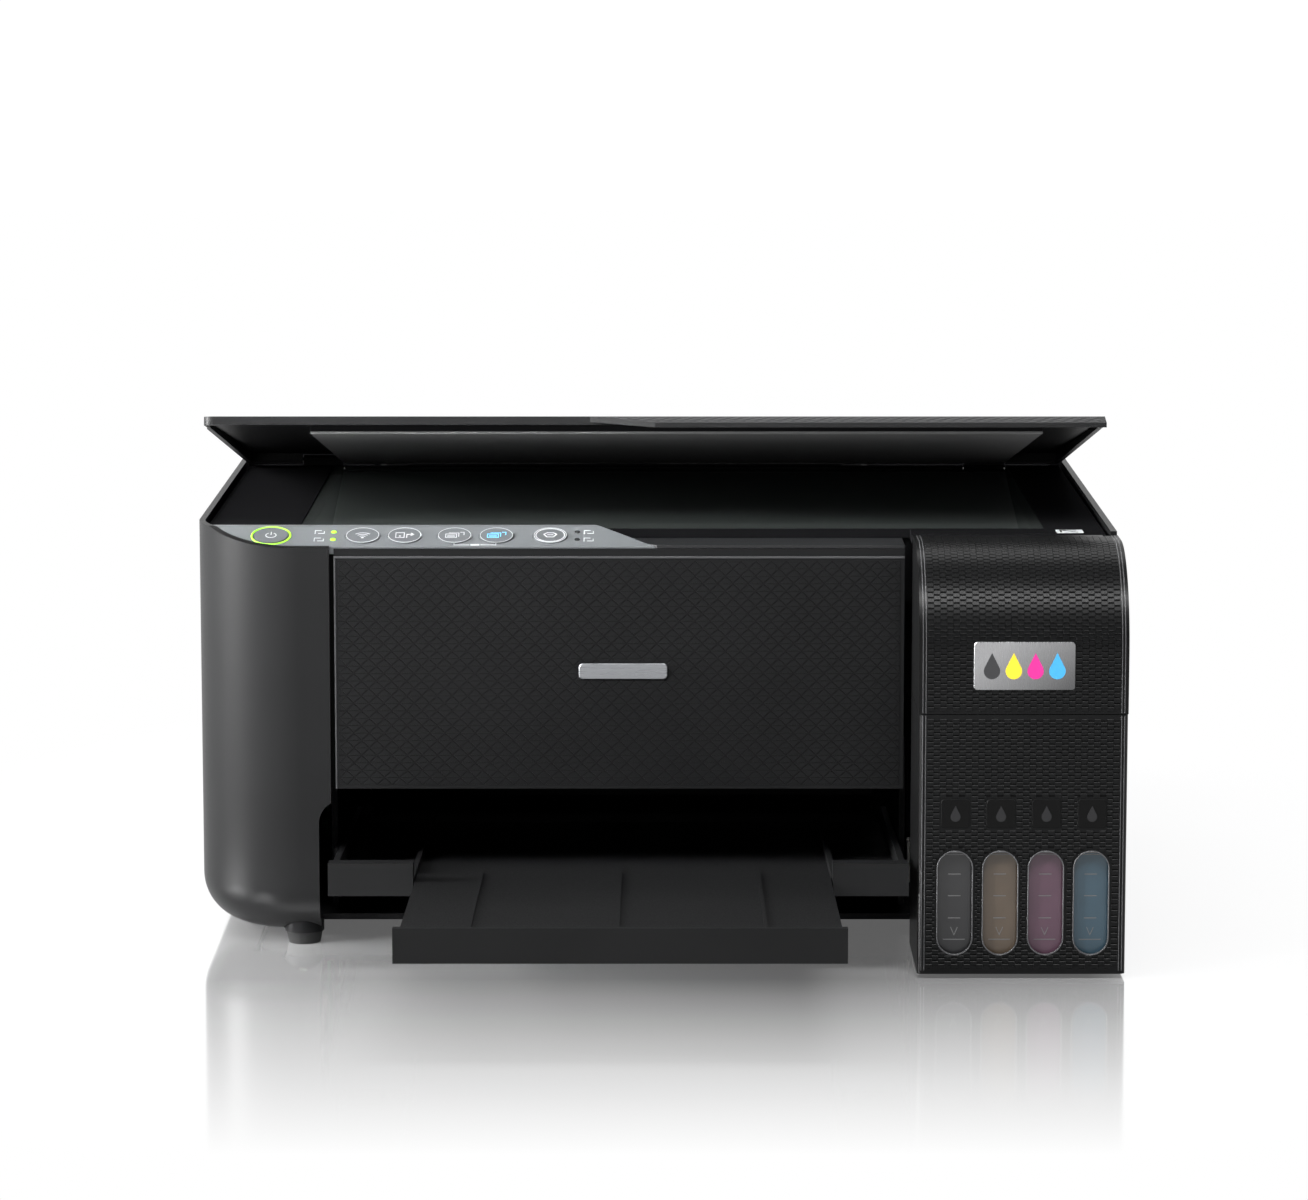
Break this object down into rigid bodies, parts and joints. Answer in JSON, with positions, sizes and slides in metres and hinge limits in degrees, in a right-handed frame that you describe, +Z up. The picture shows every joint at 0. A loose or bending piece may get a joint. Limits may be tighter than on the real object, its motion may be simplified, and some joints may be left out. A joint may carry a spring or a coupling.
{
  "type": "inkjet printer",
  "caption": "Ink-tank inkjet printer with a flatbed scanner ajar, button panel, tinted tank windows, rear paper feed and a two-stage output tray.",
  "frame": {"origin": "middle of the bottom of the printer's box, with the output tray pulled out", "axes": "+X to the right seen from the front, +Y to the back, +Z up"},
  "size_m": [0.375, 0.5117, 0.2163],
  "materials": {
    "case_plastic": "fine-grained dark moulding",
    "tank_case_plastic": "dark moulding with a woven relief",
    "panel_plastic": "satin mid grey",
    "cover_plastic": "dark lid moulding",
    "inner_plastic": "black structural moulding",
    "button_plastic": "dark satin button",
    "scanner_glass": "clear float glass",
    "mat_white": "grey pressing pad",
    "bright_steel": "plated sheet and rods",
    "foot_rubber": "soft black rubber",
    "roller_rubber": "grey roller rubber",
    "gear_nylon": "natural nylon",
    "belt_rubber": "toothed belt",
    "tank_resin": "tinted ink bottles",
    "tube_resin": "clear tubes",
    "board_green": "printed circuit board",
    "felt": "absorbent felt",
    "motor_can": "motor can"
  },
  "bodies": {
    "case": {"base_frame": "inner_plastic", "left_side_cover": "case_plastic", "right_side_cover": "case_plastic", "rear_cover": "case_plastic", "cover_screws": "bright_steel", "front_panel": "case_plastic", "front_ledge": "case_plastic", "rubber_feet": "foot_rubber", "control_panel": "panel_plastic", "circuit_boards": "board_green", "tank_housing": "tank_case_plastic", "ink_tanks": "tank_resin", "ink_tubes": "tube_resin", "rear_deck": "case_plastic", "platen": "inner_plastic", "wheel_holders": "inner_plastic", "carriage_frame": "bright_steel", "drive_motors": "motor_can", "capping_station": "inner_plastic", "waste_ink_pad": "felt", "power_supply": "inner_plastic", "rear_sockets": "inner_plastic", "carriage_belt": "belt_rubber"},
    "scanner": {"scanner_base": "inner_plastic", "scanner_bezel": "case_plastic", "scanner_glass": "scanner_glass", "scan_rail": "bright_steel"},
    "scan_head": {"scan_head": "inner_plastic"},
    "hinge_posts": {"hinge_posts": "inner_plastic"},
    "document_cover": {"document_cover": "cover_plastic", "document_mat": "mat_white"},
    "tank_cover": {"tank_cover": "tank_case_plastic"},
    "cap_black": {"cap_black": "inner_plastic"},
    "cap_yellow": {"cap_yellow": "inner_plastic"},
    "cap_magenta": {"cap_magenta": "inner_plastic"},
    "cap_cyan": {"cap_cyan": "inner_plastic"},
    "output_tray": {"output_tray": "case_plastic"},
    "tray_extension": {"tray_extension": "case_plastic"},
    "paper_support": {"paper_support": "case_plastic"},
    "hopper_plate": {"hopper_plate": "inner_plastic"},
    "edge_guide_left": {"edge_guide_left": "inner_plastic"},
    "edge_guide_right": {"edge_guide_right": "inner_plastic"},
    "feeder_guard": {"feeder_guard": "case_plastic"},
    "feed_roller": {"feed_roller": "roller_rubber"},
    "idler_gear": {"idler_gear": "gear_nylon"},
    "eject_roller": {"eject_roller": "roller_rubber"},
    "feed_pinion": {"feed_pinion": "gear_nylon"},
    "pickup_roller": {"pickup_roller": "roller_rubber"},
    "pinch_rollers": {"pinch_rollers": "roller_rubber"},
    "star_wheels": {"star_wheels": "bright_steel"},
    "carriage": {"print_carriage": "inner_plastic", "print_head": "inner_plastic"},
    "motor_pulley": {"motor_pulley": "gear_nylon"},
    "idler_pulley": {"idler_pulley": "gear_nylon"},
    "power_button": {"power_button": "button_plastic"},
    "wireless_button": {"wireless_button": "button_plastic"},
    "status_button": {"status_button": "button_plastic"},
    "copy_mono_button": {"copy_mono_button": "button_plastic"},
    "copy_colour_button": {"copy_colour_button": "button_plastic"},
    "stop_button": {"stop_button": "button_plastic"}
  },
  "joints": [
    {"name": "scanner_tilt", "type": "hinge", "parent": "case", "child": "scanner", "pos_m": [0, 0.215, 0.163], "axis": [-1, 0, 0], "range_deg": [0, 30]},
    {"name": "posts_lift", "type": "slide", "parent": "scanner", "child": "hinge_posts", "axis": [0, 0, 1], "range_m": [0, 0.015]},
    {"name": "cover_hinge", "type": "hinge", "parent": "hinge_posts", "child": "document_cover", "pos_m": [0, 0.212, 0.1725], "axis": [-1, 0, 0], "range_deg": [-10, 60]},
    {"name": "scan_head_slide", "type": "slide", "parent": "scanner", "child": "scan_head", "axis": [1, 0, 0], "range_m": [0, 0.3]},
    {"name": "tank_cover_hinge", "type": "hinge", "parent": "case", "child": "tank_cover", "pos_m": [0.1461, -0.0366, 0.1686], "axis": [-1, 0, 0], "range_deg": [0, 75]},
    {"name": "cap_black_hinge", "type": "hinge", "parent": "case", "child": "cap_black", "pos_m": [0.11945, -0.043, 0.1115], "axis": [-1, 0, 0], "range_deg": [0, 100]},
    {"name": "cap_yellow_hinge", "type": "hinge", "parent": "case", "child": "cap_yellow", "pos_m": [0.1375, -0.043, 0.1115], "axis": [-1, 0, 0], "range_deg": [0, 100]},
    {"name": "cap_magenta_hinge", "type": "hinge", "parent": "case", "child": "cap_magenta", "pos_m": [0.15555, -0.043, 0.1115], "axis": [-1, 0, 0], "range_deg": [0, 100]},
    {"name": "cap_cyan_hinge", "type": "hinge", "parent": "case", "child": "cap_cyan", "pos_m": [0.1736, -0.043, 0.1115], "axis": [-1, 0, 0], "range_deg": [0, 100]},
    {"name": "tray_slide", "type": "slide", "parent": "case", "child": "output_tray", "axis": [0, -0.9985, 0.0541], "range_m": [-0.058, 0]},
    {"name": "extension_slide", "type": "slide", "parent": "output_tray", "child": "tray_extension", "axis": [0, -0.9985, 0.0541], "range_m": [-0.165, 0]},
    {"name": "support_slide", "type": "slide", "parent": "case", "child": "paper_support", "axis": [0, 0.5446, 0.8387], "range_m": [0, 0.08]},
    {"name": "hopper_tilt", "type": "hinge", "parent": "case", "child": "hopper_plate", "pos_m": [-0.0137, 0.2281, 0.15208], "axis": [-1, 0, 0], "range_deg": [0, 3.5]},
    {"name": "guide_left_slide", "type": "slide", "parent": "case", "child": "edge_guide_left", "axis": [1, 0, 0], "range_m": [0, 0.05]},
    {"name": "guide_right_slide", "type": "slide", "parent": "case", "child": "edge_guide_right", "axis": [1, 0, 0], "range_m": [-0.05, 0]},
    {"name": "guard_hinge", "type": "hinge", "parent": "case", "child": "feeder_guard", "pos_m": [-0.0137, 0.242, 0.1737], "axis": [-1, 0, 0], "range_deg": [0, 80]},
    {"name": "feed_roller_spin", "type": "hinge", "parent": "case", "child": "feed_roller", "pos_m": [0, 0.115, 0.0745], "axis": [1, 0, 0], "continuous": true},
    {"name": "idler_gear_spin", "type": "hinge", "parent": "case", "child": "idler_gear", "pos_m": [-0.1475, 0.086, 0.06682], "axis": [1, 0, 0], "continuous": true},
    {"name": "eject_roller_spin", "type": "hinge", "parent": "case", "child": "eject_roller", "pos_m": [0, 0.057, 0.0745], "axis": [1, 0, 0], "continuous": true},
    {"name": "feed_pinion_spin", "type": "hinge", "parent": "case", "child": "feed_pinion", "pos_m": [-0.1475, 0.12688, 0.06262], "axis": [1, 0, 0], "continuous": true},
    {"name": "pickup_roller_spin", "type": "hinge", "parent": "case", "child": "pickup_roller", "pos_m": [0, 0.1689, 0.1095], "axis": [1, 0, 0], "continuous": true},
    {"name": "pinch_rollers_spin", "type": "hinge", "parent": "case", "child": "pinch_rollers", "pos_m": [0, 0.115, 0.08375], "axis": [1, 0, 0], "continuous": true},
    {"name": "star_wheels_spin", "type": "hinge", "parent": "case", "child": "star_wheels", "pos_m": [0, 0.057, 0.0837], "axis": [1, 0, 0], "continuous": true},
    {"name": "carriage_slide", "type": "slide", "parent": "case", "child": "carriage", "axis": [1, 0, 0], "range_m": [-0.25, 0]},
    {"name": "motor_pulley_spin", "type": "hinge", "parent": "case", "child": "motor_pulley", "pos_m": [0.167, 0.127, 0.11], "axis": [0, 1, 0], "range_deg": [0, 2300]},
    {"name": "idler_pulley_spin", "type": "hinge", "parent": "case", "child": "idler_pulley", "pos_m": [-0.167, 0.127, 0.11], "axis": [0, 1, 0], "range_deg": [0, 2300]},
    {"name": "power_press", "type": "slide", "parent": "case", "child": "power_button", "axis": [0, 0.3239, -0.9461], "range_m": [0, 0.0008], "stiffness_N_per_m": 400},
    {"name": "wireless_press", "type": "slide", "parent": "case", "child": "wireless_button", "axis": [0, 0.3239, -0.9461], "range_m": [0, 0.0008], "stiffness_N_per_m": 400},
    {"name": "status_press", "type": "slide", "parent": "case", "child": "status_button", "axis": [0, 0.3239, -0.9461], "range_m": [0, 0.0008], "stiffness_N_per_m": 400},
    {"name": "copy_mono_press", "type": "slide", "parent": "case", "child": "copy_mono_button", "axis": [0, 0.3239, -0.9461], "range_m": [0, 0.0008], "stiffness_N_per_m": 400},
    {"name": "copy_colour_press", "type": "slide", "parent": "case", "child": "copy_colour_button", "axis": [0, 0.3239, -0.9461], "range_m": [0, 0.0008], "stiffness_N_per_m": 400},
    {"name": "stop_press", "type": "slide", "parent": "case", "child": "stop_button", "axis": [0, 0.3239, -0.9461], "range_m": [0, 0.0008], "stiffness_N_per_m": 400}
  ],
  "couplings": [
    {"joint": "guide_right_slide", "follows": "guide_left_slide", "ratio": -1},
    {"joint": "idler_gear_spin", "follows": "feed_roller_spin", "ratio": -0.66667},
    {"joint": "eject_roller_spin", "follows": "feed_roller_spin", "ratio": 1},
    {"joint": "feed_pinion_spin", "follows": "feed_roller_spin", "ratio": -2.5},
    {"joint": "pinch_rollers_spin", "follows": "feed_roller_spin", "ratio": -2},
    {"joint": "star_wheels_spin", "follows": "feed_roller_spin", "ratio": -1.25},
    {"joint": "motor_pulley_spin", "follows": "carriage_slide", "rad_per_m": -158.73},
    {"joint": "idler_pulley_spin", "follows": "carriage_slide", "rad_per_m": -158.73}
  ]
}
